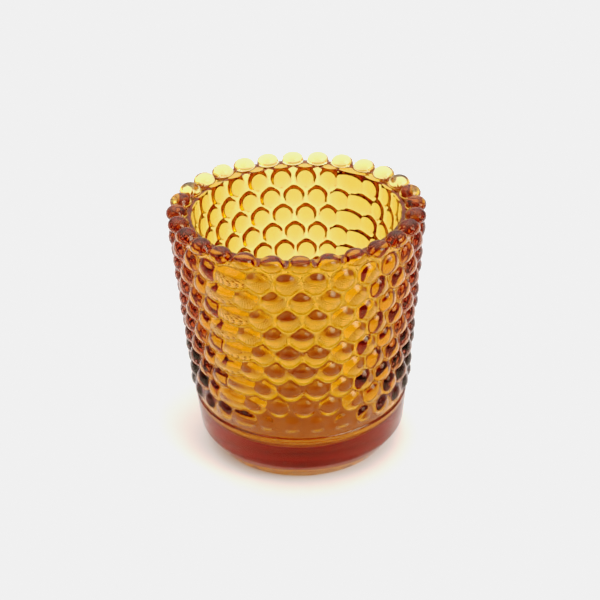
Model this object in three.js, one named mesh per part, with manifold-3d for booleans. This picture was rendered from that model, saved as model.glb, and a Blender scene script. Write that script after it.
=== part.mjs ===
// A tealight holder pressed in one piece of amber glass: a tapered tumbler with a heavy hollowed
// base, staggered rows of round hobs on the outside and a ring of beads around the rim.
// Millimetres, +Z up. The origin is the middle of the underside, and -Y is the front.
import * as THREE from 'three';
import { mergeVertices } from 'three/addons/utils/BufferGeometryUtils.js';
import Module from 'manifold-3d';

// Overall
const HEIGHT = 70;                // table to the tops of the rim beads

// Bore
const BORE_RADIUS_LOW = 22.6;     // where the wall meets the floor's rounded corner
const BORE_RADIUS_HIGH = 27.3;    // inner edge of the rim
const FLOOR_THICKNESS = 5.7;      // over the hollow under the base
const FLOOR_CORNER_RADIUS = 3;

// Wall, without the hobs
const WALL_THICKNESS_LOW = 5.5;   // at the groove, over the low bore radius
const WALL_THICKNESS_HIGH = 4.9;  // at the rim
const GROOVE_HEIGHT = 15.4;       // crease between the foot and the hobbed wall
const GROOVE_DEPTH = 0.4;
const COLLAR_RISE = 1.15;         // of the plain collar above the groove, over the wall
const COLLAR_HEIGHT = 2.6;        // groove to the fullest part of the collar
const COLLAR_FADE = 9.5;          // over which the collar falls back to the wall

// Foot
const FOOT_STEP_LOW = 0.1;        // of the foot over the wall, at the top of the bevel
const FOOT_STEP_HIGH = 1;         // just below the groove
const BASE_BEVEL_HEIGHT = 5.5;
const BASE_BEVEL_WIDTH = 3.8;
const STANDING_RING_WIDTH = 2.2;  // of the flat ring it stands on
const RECESS_DEPTH = 3.3;         // of the hollow inside that ring
const RECESS_TAPER = 1.4;         // its radius at the opening, less its radius at the roof

// Hobs: caps of a ball in rows, each row turned half a pitch against the next
const HOBS_AROUND = 28;
const HOB_ROW_PITCH = 5.4;
const HOB_RADIUS = 3.3;
const HOB_RISE = 1.85;
const TOP_ROW_BELOW_RIM = 4.8;    // rim face to the middle of the top row

// Where the two halves of the mould met, the hobs are drawn out sideways and run together
const MOULD_JOINT_ANGLE = THREE.MathUtils.degToRad(-36);
const MOULD_JOINT_SPREAD = THREE.MathUtils.degToRad(7.5);
const MOULD_JOINT_STRETCH = 1.1;

// Rim: a flat face with a ring of egg-shaped beads half sunk in it
const BEAD_INSET = 1;             // middle of the beads, in from the outside of the wall
const BEAD_HALF_DEPTH = 2.8;      // towards the axis
const BEAD_HALF_WIDTH = 3;        // along the rim
const BEAD_HALF_HEIGHT = 2.1;
const RIM_FACE_BELOW_TOP = 2.6;   // bead tops to the flat face between them

// Fineness of the mesh
const STEPS_PER_HOB = 4;
const RINGS_PER_ROW = 3;
const CORNER_STEPS = 3;
const BEAD_SEGMENTS = 10;
const BEAD_RINGS = 6;
const SAME_SIZE = 1e-4;           // lengths closer than this count as equal

const WALL_RADIUS_LOW = BORE_RADIUS_LOW + WALL_THICKNESS_LOW;
const WALL_RADIUS_HIGH = BORE_RADIUS_HIGH + WALL_THICKNESS_HIGH;
const FOOT_RADIUS_LOW = WALL_RADIUS_LOW + FOOT_STEP_LOW;
const FOOT_RADIUS_HIGH = WALL_RADIUS_LOW + FOOT_STEP_HIGH;
const BASE_RADIUS = FOOT_RADIUS_LOW - BASE_BEVEL_WIDTH;
const RECESS_RADIUS = BASE_RADIUS - STANDING_RING_WIDTH;
const BEAD_RING_RADIUS = WALL_RADIUS_HIGH - BEAD_INSET;
const FLOOR_HEIGHT = RECESS_DEPTH + FLOOR_THICKNESS;
const RIM_FACE_HEIGHT = HEIGHT - RIM_FACE_BELOW_TOP;
const TOP_ROW_HEIGHT = RIM_FACE_HEIGHT - TOP_ROW_BELOW_RIM;
const SHOULDER_HEIGHT = GROOVE_HEIGHT + COLLAR_HEIGHT;
const HOB_ROWS = 1 + Math.floor((TOP_ROW_HEIGHT - SHOULDER_HEIGHT) / HOB_ROW_PITCH);
const HOB_ANGLE = 2 * Math.PI / HOBS_AROUND;

const wasm = await Module();
wasm.setup();

const glass = new THREE.MeshStandardMaterial({ color: 0xd08a1c, roughness: 0.06, metalness: 0 });

function wallRadius(height) {
  const share = (height - GROOVE_HEIGHT) / (RIM_FACE_HEIGHT - GROOVE_HEIGHT);
  return THREE.MathUtils.lerp(WALL_RADIUS_LOW, WALL_RADIUS_HIGH, share);
}

function rowHeight(row) {
  return TOP_ROW_HEIGHT - row * HOB_ROW_PITCH;
}

// How much wider than tall a hob is at this angle: 1 everywhere except at the two mould joints.
function mouldStretch(angle) {
  const away = Math.asin(Math.sin(angle - MOULD_JOINT_ANGLE));
  return 1 + MOULD_JOINT_STRETCH * Math.exp(-((away / MOULD_JOINT_SPREAD) ** 2));
}

// Rise of one hob, from its middle outwards, both distances as shares of its radius.
function domeRise(across, up) {
  const ball = (HOB_RADIUS ** 2 + HOB_RISE ** 2) / (2 * HOB_RISE);
  const away = Math.min(HOB_RADIUS * Math.hypot(across, up), ball);
  return Math.max(Math.sqrt(ball ** 2 - away ** 2) - ball + HOB_RISE, 0);
}

// Height of the hobs above the wall at one angle and height: the highest dome that reaches there.
function hobRise(angle, height) {
  let rise = 0;
  for (let row = 0; row < HOB_ROWS; row++) {
    const up = (height - rowHeight(row)) / HOB_RADIUS;
    if (Math.abs(up) >= 1) continue;
    const turn = (row + 1) % 2 / 2;
    const column = Math.round(angle / HOB_ANGLE - turn);
    for (const near of [column - 1, column, column + 1]) {
      const middle = (near + turn) * HOB_ANGLE;
      const across = (angle - middle) * wallRadius(height) / (HOB_RADIUS * mouldStretch(middle));
      rise = Math.max(rise, domeRise(across, up));
    }
  }
  return rise;
}

// The plain collar under the hobs: full at its shoulder, fading into the wall above.
function collarRise(height) {
  return COLLAR_RISE * (1 - THREE.MathUtils.smoothstep(height - SHOULDER_HEIGHT, 0, COLLAR_FADE));
}

function footOutline() {
  return [
    new THREE.Vector2(0, RECESS_DEPTH),
    new THREE.Vector2(RECESS_RADIUS - RECESS_TAPER, RECESS_DEPTH),
    new THREE.Vector2(RECESS_RADIUS, 0),
    new THREE.Vector2(BASE_RADIUS, 0),
    new THREE.Vector2(FOOT_RADIUS_LOW, BASE_BEVEL_HEIGHT),
    new THREE.Vector2(FOOT_RADIUS_HIGH, GROOVE_HEIGHT - GROOVE_DEPTH),
    new THREE.Vector2(FOOT_RADIUS_HIGH - GROOVE_DEPTH, GROOVE_HEIGHT),
  ];
}

// Rings of the hobbed wall, from the collar's shoulder up to the rim face.
function wallOutline() {
  const points = [];
  const step = HOB_ROW_PITCH / RINGS_PER_ROW;
  const count = Math.floor((TOP_ROW_HEIGHT + HOB_RADIUS - SHOULDER_HEIGHT) / step);
  const top = TOP_ROW_HEIGHT + step;
  for (let ring = count; ring >= 0; ring--) {
    const height = top - ring * step;
    points.push(new THREE.Vector2(wallRadius(height), height));
  }
  points.push(new THREE.Vector2(wallRadius(RIM_FACE_HEIGHT), RIM_FACE_HEIGHT));
  return points;
}

// The bore from the rim's inner edge down its wall, around the corner and in over the floor.
function boreOutline() {
  const points = [new THREE.Vector2(BORE_RADIUS_HIGH, RIM_FACE_HEIGHT)];
  for (let step = 0; step <= CORNER_STEPS; step++) {
    const turn = step / CORNER_STEPS * Math.PI / 2;
    points.push(new THREE.Vector2(
      BORE_RADIUS_LOW - FLOOR_CORNER_RADIUS * (1 - Math.cos(turn)),
      FLOOR_HEIGHT + FLOOR_CORNER_RADIUS * (1 - Math.sin(turn)),
    ));
  }
  points.push(new THREE.Vector2(0, FLOOR_HEIGHT));
  return points;
}

// A turned body whose wall rings are pushed out by the hobs and the collar.
function pressedBody() {
  const foot = footOutline();
  const wall = wallOutline();
  const outline = [...foot, ...wall, ...boreOutline()];
  const geometry = new THREE.LatheGeometry(outline, HOBS_AROUND * STEPS_PER_HOB);
  const position = geometry.getAttribute('position');
  for (let index = 0; index < position.count; index++) {
    const ring = index % outline.length - foot.length;
    if (ring < 0 || ring >= wall.length) continue;
    const angle = Math.floor(index / outline.length) * HOB_ANGLE / STEPS_PER_HOB;
    const { x: radius, y: height } = wall[ring];
    const reach = radius + Math.max(hobRise(angle, height), collarRise(height));
    position.setXYZ(index, reach * Math.sin(angle), height, reach * Math.cos(angle));
  }
  foldOutwards(geometry);
  return geometry.rotateX(Math.PI / 2);
}

// Splits each four-sided patch along its outer diagonal, so that every dome stays round.
function foldOutwards(geometry) {
  const position = geometry.getAttribute('position');
  const index = geometry.getIndex();
  const reach = (corner) => Math.hypot(position.getX(corner), position.getZ(corner));
  for (let first = 0; first < index.count; first += 6) {
    const [a, b, d, c] = [0, 1, 2, 3].map((step) => index.getX(first + step));
    if (reach(b) + reach(d) > reach(a) + reach(c) - SAME_SIZE) continue;
    [a, b, c, c, d, a].forEach((corner, step) => index.setX(first + step, corner));
  }
}

function rimBead(column) {
  const angle = column * HOB_ANGLE;
  const geometry = new THREE.SphereGeometry(1, BEAD_SEGMENTS, BEAD_RINGS);
  geometry.rotateX(Math.PI / 2);
  geometry.scale(BEAD_HALF_WIDTH, BEAD_HALF_DEPTH, BEAD_HALF_HEIGHT);
  geometry.translate(0, -BEAD_RING_RADIUS, HEIGHT - BEAD_HALF_HEIGHT);
  return geometry.rotateZ(angle);
}

function toSolid(geometry) {
  const bare = geometry.clone();
  bare.deleteAttribute('normal');
  bare.deleteAttribute('uv');
  const merged = mergeVertices(bare, SAME_SIZE);
  return new wasm.Manifold(new wasm.Mesh({
    numProp: 3,
    vertProperties: new Float32Array(merged.getAttribute('position').array),
    triVerts: new Uint32Array(merged.getIndex().array),
  }));
}

function toGeometry(solid) {
  const mesh = solid.getMesh();
  const geometry = new THREE.BufferGeometry();
  geometry.setAttribute('position', new THREE.BufferAttribute(mesh.vertProperties, 3));
  geometry.setIndex(new THREE.BufferAttribute(mesh.triVerts, 1));
  geometry.computeVertexNormals();
  return geometry;
}

function glassHolder() {
  let solid = toSolid(pressedBody());
  for (let column = 0; column < HOBS_AROUND; column++) {
    solid = solid.add(toSolid(rimBead(column)));
  }
  const mesh = new THREE.Mesh(toGeometry(solid), glass);
  mesh.name = 'glass_holder';
  return mesh;
}

const holder = new THREE.Group();
holder.name = 'tealight_holder';
holder.add(glassHolder());

export default holder;
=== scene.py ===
"""An amber pressed-glass tealight holder: tapered hobbed wall, heavy plain foot and beaded rim.

The CAD frame holds the size and the place. This script builds the same glass as one smooth mesh
with finer hobs and fillets, gives it its material, and sets up the board, the room and the
camera. Lengths are in metres.
"""
import math

import bpy
import numpy as np
from mathutils import Matrix, Vector

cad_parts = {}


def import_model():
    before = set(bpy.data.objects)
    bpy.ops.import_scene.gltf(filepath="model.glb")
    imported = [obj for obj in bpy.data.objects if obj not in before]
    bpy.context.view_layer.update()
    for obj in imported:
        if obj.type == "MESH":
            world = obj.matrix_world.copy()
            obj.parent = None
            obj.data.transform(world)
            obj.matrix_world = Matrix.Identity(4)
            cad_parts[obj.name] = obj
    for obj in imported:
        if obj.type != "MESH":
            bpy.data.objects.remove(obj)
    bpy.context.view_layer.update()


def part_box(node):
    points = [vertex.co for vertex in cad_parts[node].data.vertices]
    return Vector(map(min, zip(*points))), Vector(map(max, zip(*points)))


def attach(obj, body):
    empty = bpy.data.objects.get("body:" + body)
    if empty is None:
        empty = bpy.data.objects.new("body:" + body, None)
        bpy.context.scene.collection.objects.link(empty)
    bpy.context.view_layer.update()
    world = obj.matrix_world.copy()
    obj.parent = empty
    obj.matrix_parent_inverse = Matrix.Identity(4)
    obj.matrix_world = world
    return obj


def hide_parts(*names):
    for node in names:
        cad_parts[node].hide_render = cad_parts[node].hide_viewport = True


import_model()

MM = 0.001
NODE = "glass_holder"
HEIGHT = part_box(NODE)[1].z

# Wall and foot
WALL_RADIUS_LOW = 28.1 * MM
WALL_RADIUS_HIGH = 32.2 * MM
BASE_RADIUS = 24.4 * MM
BASE_BEVEL_HEIGHT = 5.5 * MM
RECESS_RADIUS_LOW = 22.2 * MM
RECESS_RADIUS_HIGH = 20.8 * MM
RECESS_DEPTH = 3.3 * MM
FOOT_RADIUS_LOW = 28.2 * MM
FOOT_RADIUS_HIGH = 29.1 * MM
GROOVE_HEIGHT = 15.4 * MM
GROOVE_DEPTH = 0.4 * MM
COLLAR_RISE = 1.15 * MM
COLLAR_HEIGHT = 2.6 * MM
COLLAR_FADE = 9.5 * MM

# Bore
BORE_RADIUS_LOW = 22.6 * MM
BORE_RADIUS_HIGH = 27.3 * MM
FLOOR_HEIGHT = 9.0 * MM
FLOOR_CORNER_RADIUS = 3 * MM

# Hobs and rim beads
HOBS_AROUND = 28
HOB_ROWS = 9
HOB_ROW_PITCH = 5.4 * MM
HOB_RADIUS = 3.3 * MM
HOB_RISE = 1.85 * MM
HOB_FILLET = 0.08 * MM
TOP_ROW_BELOW_RIM = 4.8 * MM
MOULD_JOINT_ANGLE = math.radians(-36)
MOULD_JOINT_SPREAD = math.radians(7.5)
MOULD_JOINT_STRETCH = 1.1
BEAD_RING_RADIUS = 31.2 * MM
BEAD_HALF_DEPTH = 2.8 * MM
BEAD_HALF_WIDTH = 3.0 * MM
BEAD_HALF_HEIGHT = 2.1 * MM
RIM_FACE_BELOW_TOP = 2.6 * MM
RIM_FACE_HEIGHT = HEIGHT - RIM_FACE_BELOW_TOP
SHOULDER_HEIGHT = GROOVE_HEIGHT + COLLAR_HEIGHT
HOB_ANGLE = 2 * math.pi / HOBS_AROUND

# Fineness of the mesh
STEPS_PER_HOB = 16
WALL_STEP = 0.45 * MM
CORNER_STEPS = 4
BORE_STEPS = 20
BORE_CORNER_STEPS = 9
RIM_STEPS = 36
WALL_TOP = RIM_FACE_HEIGHT - 1.45 * MM                    # the wall's rings end, the rim's begin
RIM_MIDDLE = (29.8 * MM, RIM_FACE_HEIGHT - 1.1 * MM)      # the rim's rings fan out from here
EDGE_REACH = 0.06       # points this near to a hob's edge are drawn onto it, in hob radii
EDGE_POWER = 7.0        # the lower, the rounder the rim's edges
BEAD_POWER = 16         # the lower, the rounder the join of bead and rim face
THINNEST_BEAD = 1e-4
TINY = 1e-9

# Glass
REFRACTION = 1.5
ABSORPTION_COLOR = (0.915, 0.7525, 0.175, 1)
ABSORPTION_DENSITY = 400
REFLECTION_TINT = (1, 0.85, 0.65, 1)
CLEAR = (1, 1, 1, 1)
STREAKED = (0.99, 0.95, 0.88, 1)
HANDLED_ROUGHNESS = 0.012
RIPPLE_DEPTH = 0.012 * MM

# Board
BOARD_SIDE = 24
BOARD_LIGHT = (0.9, 0.893, 0.886, 1)
BOARD_DARK = (0.885, 0.878, 0.871, 1)
GRAIN_DEPTH = 0.01 * MM
PAINTED_CAUSTIC_TINT = (0.87, 0.82, 0.78, 1)    # painted caustic: board colour near the foot, warm and a little dim, standing in for amber light through the glass
PAINTED_CAUSTIC_RADIUS = 90 * MM
AIR_GAP = 0.05 * MM             # between the underside and the board

# Room: brightness of each part
ROOM_FRONT = 0.33               # behind the camera
ROOM_BACK = 0.9
ROOM_TOP = 3.0                  # the ceiling, as a multiple of the walls
WINDOW_BRIGHTNESS = 9           # also a multiple
WINDOW_WAY = (0.62, -0.55, 0.5)
WINDOW_EDGE = math.cos(math.radians(27))
WINDOW_HEART = math.cos(math.radians(6))

# Camera
LENS = 89.22
SENSOR = 36
DISTANCE = 400.4 * MM
LIFT = math.radians(29.51)
SIDE = math.radians(-1.07)
ROLL = math.radians(-1.685)
TARGET_HEIGHT = 40.5 * MM
SHIFT = 1 / 600

# Display value against scene brightness: a soft toe, and a shoulder that holds the white board
TONE_CURVE = [
    (0.03, 0.008),
    (0.1, 0.075),
    (0.3, 0.31),
    (0.6, 0.55),
    (0.8, 0.68),
    (1.05, 0.9),
    (1.4, 0.945),
]
BRIGHTEST = 3
BOUNCES = 48
GLOSSY_BOUNCES = 24


def wall_radius(height):
    share = (height - GROOVE_HEIGHT) / (RIM_FACE_HEIGHT - GROOVE_HEIGHT)
    return WALL_RADIUS_LOW + (WALL_RADIUS_HIGH - WALL_RADIUS_LOW) * share


def bore_radius(height):
    share = (height - FLOOR_HEIGHT) / (RIM_FACE_HEIGHT - FLOOR_HEIGHT)
    return BORE_RADIUS_LOW + (BORE_RADIUS_HIGH - BORE_RADIUS_LOW) * share


def smooth(x):
    x = np.clip(x, 0, 1)
    return x * x * (3 - 2 * x)


def nearest_hob(angle, height):
    """Middle of the nearest hob as angle and height, and the distance to it in hob radii."""
    best = np.full(angle.shape, np.inf)
    middle_angle, middle_height = np.zeros(angle.shape), np.zeros(angle.shape)
    for row in range(HOB_ROWS):
        level = RIM_FACE_HEIGHT - TOP_ROW_BELOW_RIM - row * HOB_ROW_PITCH
        turn = (row + 1) % 2 / 2
        column = np.round(angle / HOB_ANGLE - turn)
        for side in (-1, 0, 1):
            middle = (column + side + turn) * HOB_ANGLE
            away = np.arcsin(np.sin(middle - MOULD_JOINT_ANGLE))
            stretch = 1 + MOULD_JOINT_STRETCH * np.exp(-((away / MOULD_JOINT_SPREAD) ** 2))
            across = (angle - middle) * wall_radius(height) / (HOB_RADIUS * stretch)
            share = np.hypot(across, (height - level) / HOB_RADIUS)
            closer = share < best
            best = np.where(closer, share, best)
            middle_angle = np.where(closer, middle, middle_angle)
            middle_height = np.where(closer, level, middle_height)
    return middle_angle, middle_height, best


def hob_rise(share):
    """Height of a hob above the wall at a distance from its middle, in hob radii: a ball's cap."""
    ball = (HOB_RADIUS**2 + HOB_RISE**2) / (2 * HOB_RISE)
    rise = np.sqrt(np.maximum(ball**2 - (share * HOB_RADIUS) ** 2, 0)) - (ball - HOB_RISE)
    return HOB_FILLET * np.log1p(np.exp(np.clip(rise / HOB_FILLET, -30, 60)))


def collar_rise(height):
    """The plain collar under the hobs: full at its shoulder, fading into the wall above."""
    return COLLAR_RISE * (1 - smooth((height - SHOULDER_HEIGHT) / COLLAR_FADE))


def arc(center, radius, start, end, steps):
    turns = np.linspace(math.radians(start), math.radians(end), steps)
    return [(center[0] + radius * math.cos(t), center[1] + radius * math.sin(t)) for t in turns]


def rounded(points, radii, steps=CORNER_STEPS):
    """A run of (radius, height) points with its inner corners rounded."""
    line = [points[0]]
    for before, corner, after, size in zip(points, points[1:], points[2:], radii):
        corner = np.array(corner)
        back = np.array(before) - corner
        ahead = np.array(after) - corner
        back = back / np.linalg.norm(back)
        ahead = ahead / np.linalg.norm(ahead)
        for t in np.linspace(0, 1, steps):
            line.append(tuple(corner + size * ((1 - t) ** 2 * back + t**2 * ahead)))
    line.append(points[-1])
    return line


def foot_outline():
    """From the middle of the underside out to the groove and up to the collar's shoulder."""
    points = [
        (0, RECESS_DEPTH),
        (RECESS_RADIUS_HIGH * 0.5, RECESS_DEPTH),
        (RECESS_RADIUS_HIGH, RECESS_DEPTH),
        (RECESS_RADIUS_LOW, 0),
        (BASE_RADIUS, 0),
        (FOOT_RADIUS_LOW, BASE_BEVEL_HEIGHT),
        (FOOT_RADIUS_HIGH, GROOVE_HEIGHT - GROOVE_DEPTH),
        (FOOT_RADIUS_HIGH - GROOVE_DEPTH, GROOVE_HEIGHT),
        (wall_radius(GROOVE_HEIGHT) + 0.8 * MM, GROOVE_HEIGHT + 0.7 * MM),
        (wall_radius(SHOULDER_HEIGHT) + COLLAR_RISE, SHOULDER_HEIGHT),
    ]
    radii = [0.1 * MM, 0.6 * MM, 0.4 * MM, 0.6 * MM, 0.7 * MM, 0.2 * MM, 0.15 * MM, 0.5 * MM]
    return rounded(points, radii)


def bore_outline():
    """From the rim face down the bore, around the corner and in over the floor."""
    corner = (BORE_RADIUS_LOW - FLOOR_CORNER_RADIUS, FLOOR_HEIGHT + FLOOR_CORNER_RADIUS)
    start = corner[1] + 0.3 * MM
    heights = np.linspace(WALL_TOP - 0.3 * MM, start, BORE_STEPS)
    line = [(bore_radius(h), h) for h in heights]
    line += arc(corner, FLOOR_CORNER_RADIUS, 0, -90, BORE_CORNER_STEPS)
    line += [(corner[0] * share, FLOOR_HEIGHT) for share in (0.6, 0.2, 0)]
    return line


def rim_reach(angle, turn):
    """Distance from the rim's middle to its surface, beads included, in one direction."""
    middle, level = RIM_MIDDLE
    dx, dz = np.cos(turn), np.sin(turn)
    wall_slope = (WALL_RADIUS_HIGH - WALL_RADIUS_LOW) / (RIM_FACE_HEIGHT - GROOVE_HEIGHT)
    bore_slope = (BORE_RADIUS_HIGH - BORE_RADIUS_LOW) / (RIM_FACE_HEIGHT - FLOOR_HEIGHT)
    out = (wall_radius(level) - middle) / np.maximum(dx - wall_slope * dz, TINY)
    up = (RIM_FACE_HEIGHT - level) / np.maximum(dz, TINY)
    inner = (middle - bore_radius(level)) / np.maximum(bore_slope * dz - dx, TINY)
    body = (out**-EDGE_POWER + up**-EDGE_POWER + inner**-EDGE_POWER) ** (-1 / EDGE_POWER)
    bead = bead_reach(angle, dx, dz)
    return (body**BEAD_POWER + bead**BEAD_POWER) ** (1 / BEAD_POWER)


def bead_reach(angle, dx, dz):
    """Distance from the rim's middle to the far side of the nearest bead, or 0 if it misses."""
    across = (angle - np.round(angle / HOB_ANGLE) * HOB_ANGLE) * BEAD_RING_RADIUS
    size = np.sqrt(np.clip(1 - (across / BEAD_HALF_WIDTH) ** 2, THINNEST_BEAD, 1))
    depth, tall = BEAD_HALF_DEPTH * size, BEAD_HALF_HEIGHT * size
    ox = (RIM_MIDDLE[0] - BEAD_RING_RADIUS) / depth
    oz = (RIM_MIDDLE[1] - (HEIGHT - BEAD_HALF_HEIGHT)) / tall
    ux, uz = dx / depth, dz / tall
    a, b, c = ux**2 + uz**2, ox * ux + oz * uz, ox**2 + oz**2 - 1
    root = b**2 - a * c
    bead = np.where(root > 0, (-b + np.sqrt(np.maximum(root, 0))) / a, 0)
    return np.maximum(bead, 0)


def wall_ring(angle, height):
    """One ring of the hobbed wall. Points near a hob's edge are drawn onto it, to keep it round."""
    height = np.full_like(angle, height)
    middle_angle, middle_height, share = nearest_hob(angle, height)
    near = np.abs(share - 1) < EDGE_REACH
    pull = np.where(near, 1 / share, 1)
    angle = middle_angle + (angle - middle_angle) * pull
    height = middle_height + (height - middle_height) * pull
    share = nearest_hob(angle, height)[2]
    rise = np.maximum(hob_rise(share), collar_rise(height))
    return angle, wall_radius(height) + rise, height


def glass_rings():
    """Every ring of the mesh as arrays of angle, radius and height, from underside to floor."""
    angle = np.arange(HOBS_AROUND * STEPS_PER_HOB) * HOB_ANGLE / STEPS_PER_HOB
    same = np.ones_like(angle)
    rings = [(angle, r * same, h * same) for r, h in foot_outline()]
    count = round((WALL_TOP - SHOULDER_HEIGHT) / WALL_STEP)
    heights = np.linspace(SHOULDER_HEIGHT, WALL_TOP, count + 1)[1:-1]
    rings += [wall_ring(angle, h) for h in heights]
    middle, level = RIM_MIDDLE
    first = math.atan2(WALL_TOP - level, wall_radius(WALL_TOP) - middle)
    last = math.pi - math.atan2(WALL_TOP - level, middle - bore_radius(WALL_TOP))
    for turn in np.linspace(first, last, RIM_STEPS):
        reach = rim_reach(angle, turn)
        rings.append((angle, middle + reach * math.cos(turn), level + reach * math.sin(turn)))
    rings += [(angle, r * same, h * same) for r, h in bore_outline()]
    return rings


def glass_mesh():
    inner = glass_rings()[1:-1]
    count = HOBS_AROUND * STEPS_PER_HOB
    points = [np.stack([r * np.sin(a), -r * np.cos(a), h], -1) for a, r, h in inner]
    corners = np.concatenate(points + [np.array([[0, 0, RECESS_DEPTH], [0, 0, FLOOR_HEIGHT]])])
    under, floor = len(corners) - 2, len(corners) - 1
    faces = []
    for ring in range(len(inner) - 1):
        for step in range(count):
            following = (step + 1) % count
            a, b = ring * count + step, ring * count + following
            faces.append((a, b, b + count, a + count))
    top = (len(inner) - 1) * count
    for step in range(count):
        following = (step + 1) % count
        faces.append((under, following, step))
        faces.append((floor, top + step, top + following))
    mesh = bpy.data.meshes.new("pressed_glass")
    mesh.from_pydata(corners.tolist(), [], faces)
    mesh.validate()
    mesh.polygons.foreach_set("use_smooth", [True] * len(mesh.polygons))
    return mesh


def noise(tree, place, scale, detail, squash=1):
    """Cloudy values over the piece, finer up its height where squash is above 1."""
    stretch = tree.nodes.new("ShaderNodeMapping")
    stretch.inputs["Scale"].default_value = (1, 1, squash)
    tree.links.new(place, stretch.inputs["Vector"])
    cloud = tree.nodes.new("ShaderNodeTexNoise")
    cloud.inputs["Scale"].default_value = scale
    cloud.inputs["Detail"].default_value = detail
    tree.links.new(stretch.outputs["Vector"], cloud.inputs["Vector"])
    return cloud.outputs["Fac"]


def fade(tree, value, start, end, low=0, high=1):
    """A value that goes smoothly from low to high as another goes from start to end."""
    made = tree.nodes.new("ShaderNodeMapRange")
    made.interpolation_type = "SMOOTHSTEP"
    for name, amount in zip(("From Min", "From Max", "To Min", "To Max"), (start, end, low, high)):
        made.inputs[name].default_value = amount
    tree.links.new(value, made.inputs["Value"])
    return made.outputs["Result"]


def product(tree, one, other):
    made = tree.nodes.new("ShaderNodeMath")
    made.operation = "MULTIPLY"
    tree.links.new(one, made.inputs[0])
    tree.links.new(other, made.inputs[1])
    return made.outputs["Value"]


def blend(tree, share, low, high):
    """A colour between two others; each may be a colour or another node's output."""
    made = tree.nodes.new("ShaderNodeMix")
    made.data_type = "RGBA"
    tree.links.new(share, made.inputs["Factor"])
    for socket, color in ((made.inputs[6], low), (made.inputs[7], high)):
        if isinstance(color, tuple):
            socket.default_value = color
        else:
            tree.links.new(color, socket)
    return made.outputs[2]


def bump(tree, height, strength, depth, surface):
    made = tree.nodes.new("ShaderNodeBump")
    made.inputs["Distance"].default_value = depth
    tree.links.new(strength, made.inputs["Strength"])
    tree.links.new(height, made.inputs["Height"])
    tree.links.new(made.outputs["Normal"], surface.inputs["Normal"])


def split(tree, vector):
    made = tree.nodes.new("ShaderNodeSeparateXYZ")
    tree.links.new(vector, made.inputs["Vector"])
    return made.outputs


def amber_glass():
    """Clear glass coloured in its depth; its hobbed wall is faintly rippled and handled."""
    material = bpy.data.materials.new("amber_glass")
    material.use_nodes = True
    tree = material.node_tree
    surface = tree.nodes["Principled BSDF"]
    surface.inputs["Transmission Weight"].default_value = 1
    surface.inputs["IOR"].default_value = REFRACTION
    surface.inputs["Specular Tint"].default_value = REFLECTION_TINT
    place = tree.nodes.new("ShaderNodeTexCoord").outputs["Object"]
    wall = fade(tree, split(tree, place)["Z"], GROOVE_HEIGHT, GROOVE_HEIGHT + COLLAR_FADE)
    streaks = fade(tree, noise(tree, place, 70, 3), 0.3, 0.7)
    tree.links.new(blend(tree, streaks, CLEAR, STREAKED), surface.inputs["Base Color"])
    handling = fade(tree, noise(tree, place, 160, 5), 0.5, 0.8, 0, HANDLED_ROUGHNESS)
    tree.links.new(product(tree, handling, wall), surface.inputs["Roughness"])
    bump(tree, noise(tree, place, 300, 2, 2.2), wall, RIPPLE_DEPTH, surface)
    body = tree.nodes.new("ShaderNodeVolumeAbsorption")
    body.inputs["Color"].default_value = ABSORPTION_COLOR
    body.inputs["Density"].default_value = ABSORPTION_DENSITY
    tree.links.new(body.outputs["Volume"], tree.nodes["Material Output"].inputs["Volume"])
    return material


def glass():
    piece = bpy.data.objects.new("pressed_glass", glass_mesh())
    bpy.context.scene.collection.objects.link(piece)
    piece.data.materials.append(amber_glass())
    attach(piece, "root")
    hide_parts(NODE)


def pale_floor():
    """Matt white board with a faint grain, and a painted warm tint around the foot that stands in
    for the amber light coming through the glass.
    """
    material = bpy.data.materials.new("pale_floor")
    material.use_nodes = True
    tree = material.node_tree
    surface = tree.nodes["Principled BSDF"]
    place = tree.nodes.new("ShaderNodeTexCoord").outputs["Object"]
    away = tree.nodes.new("ShaderNodeVectorMath")
    away.operation = "LENGTH"
    tree.links.new(place, away.inputs[0])
    grain = fade(tree, noise(tree, place, 220, 4), 0.3, 0.7)
    board = blend(tree, grain, BOARD_DARK, BOARD_LIGHT)
    # painted caustic: the board's colour fades from the painted warm tint at the foot to plain
    # board farther out
    painted_caustic_share = fade(tree, away.outputs["Value"], BASE_RADIUS, PAINTED_CAUSTIC_RADIUS)
    tree.links.new(blend(tree, painted_caustic_share, PAINTED_CAUSTIC_TINT, board), surface.inputs["Base Color"])
    tree.links.new(fade(tree, grain, 0, 1, 0.55, 0.7), surface.inputs["Roughness"])
    bump(tree, grain, grain, GRAIN_DEPTH, surface)
    return material


def floor():
    mesh = bpy.data.meshes.new("floor")
    half = BOARD_SIDE / 2
    low = -AIR_GAP
    corners = [(-half, -half, low), (half, -half, low), (half, half, low), (-half, half, low)]
    mesh.from_pydata(corners, [], [(0, 1, 2, 3)])
    piece = bpy.data.objects.new("floor", mesh)
    bpy.context.scene.collection.objects.link(piece)
    piece.data.materials.append(pale_floor())


def area_light(name, place, target, size, power):
    data = bpy.data.lights.new(name, "AREA")
    data.shape = "RECTANGLE"
    data.size, data.size_y = size
    data.energy = power
    lamp = bpy.data.objects.new(name, data)
    lamp.location = place
    lamp.rotation_euler = (Vector(target) - Vector(place)).to_track_quat("-Z", "Y").to_euler()
    bpy.context.scene.collection.objects.link(lamp)


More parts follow.
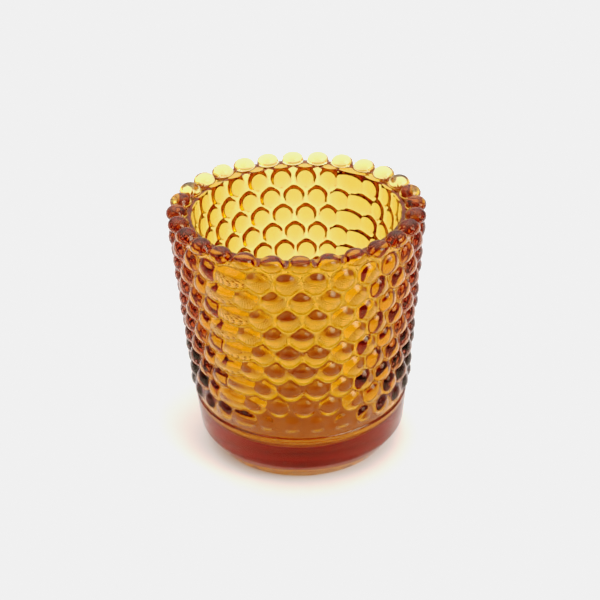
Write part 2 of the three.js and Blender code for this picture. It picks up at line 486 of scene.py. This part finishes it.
def world():
    """A soft white room: dimmer behind the camera, brighter above, with one window."""
    made = bpy.data.worlds.new("studio")
    bpy.context.scene.world = made
    made.use_nodes = True
    tree = made.node_tree
    back = tree.nodes["Background"]
    back.inputs["Color"].default_value = (1, 1, 1, 1)
    place = tree.nodes.new("ShaderNodeTexCoord").outputs["Generated"]
    way = split(tree, place)
    around = fade(tree, way["Y"], -0.9, 0.3, ROOM_FRONT, ROOM_BACK)
    above = fade(tree, way["Z"], 0.35, 1, 1, ROOM_TOP)
    toward = tree.nodes.new("ShaderNodeVectorMath")
    toward.operation = "DOT_PRODUCT"
    toward.inputs[1].default_value = Vector(WINDOW_WAY).normalized()
    tree.links.new(place, toward.inputs[0])
    window = fade(tree, toward.outputs["Value"], WINDOW_EDGE, WINDOW_HEART, 1, WINDOW_BRIGHTNESS)
    room = product(tree, around, above)
    tree.links.new(product(tree, room, window), back.inputs["Strength"])


def camera():
    data = bpy.data.cameras.new("camera")
    data.sensor_width = SENSOR
    data.lens = LENS
    data.shift_x = SHIFT
    data.clip_start = 0.01
    data.clip_end = 20
    made = bpy.data.objects.new("camera", data)
    bpy.context.scene.collection.objects.link(made)
    flat = math.cos(LIFT)
    back = Vector((flat * math.sin(SIDE), -flat * math.cos(SIDE), math.sin(LIFT)))
    made.location = Vector((0, 0, TARGET_HEIGHT)) + back * DISTANCE
    upright = (-back).to_track_quat("-Z", "Y").to_matrix()
    made.rotation_euler = (upright @ Matrix.Rotation(ROLL, 3, "Z")).to_euler()
    bpy.context.scene.camera = made


def film():
    """The picture's tone curve: a soft shoulder holds the bright table just below white."""
    view = bpy.context.scene.view_settings
    view.view_transform = "Standard"
    view.use_curve_mapping = True
    curve = view.curve_mapping
    curve.use_clip = False
    curve.extend = "HORIZONTAL"
    line = curve.curves[3]
    line.points[0].location = (0, 0)
    line.points[1].location = (BRIGHTEST, 1)
    for place in TONE_CURVE:
        line.points.new(*place)
    curve.update()


glass()
floor()
world()
camera()
area_light("panel", (-0.75, -0.5, 0.55), (0, 0, 0.04), (0.7, 0.6), 1.5)
film()
cycles = bpy.context.scene.cycles
cycles.max_bounces = BOUNCES
cycles.transmission_bounces = BOUNCES
cycles.glossy_bounces = GLOSSY_BOUNCES
bpy.context.view_layer.update()
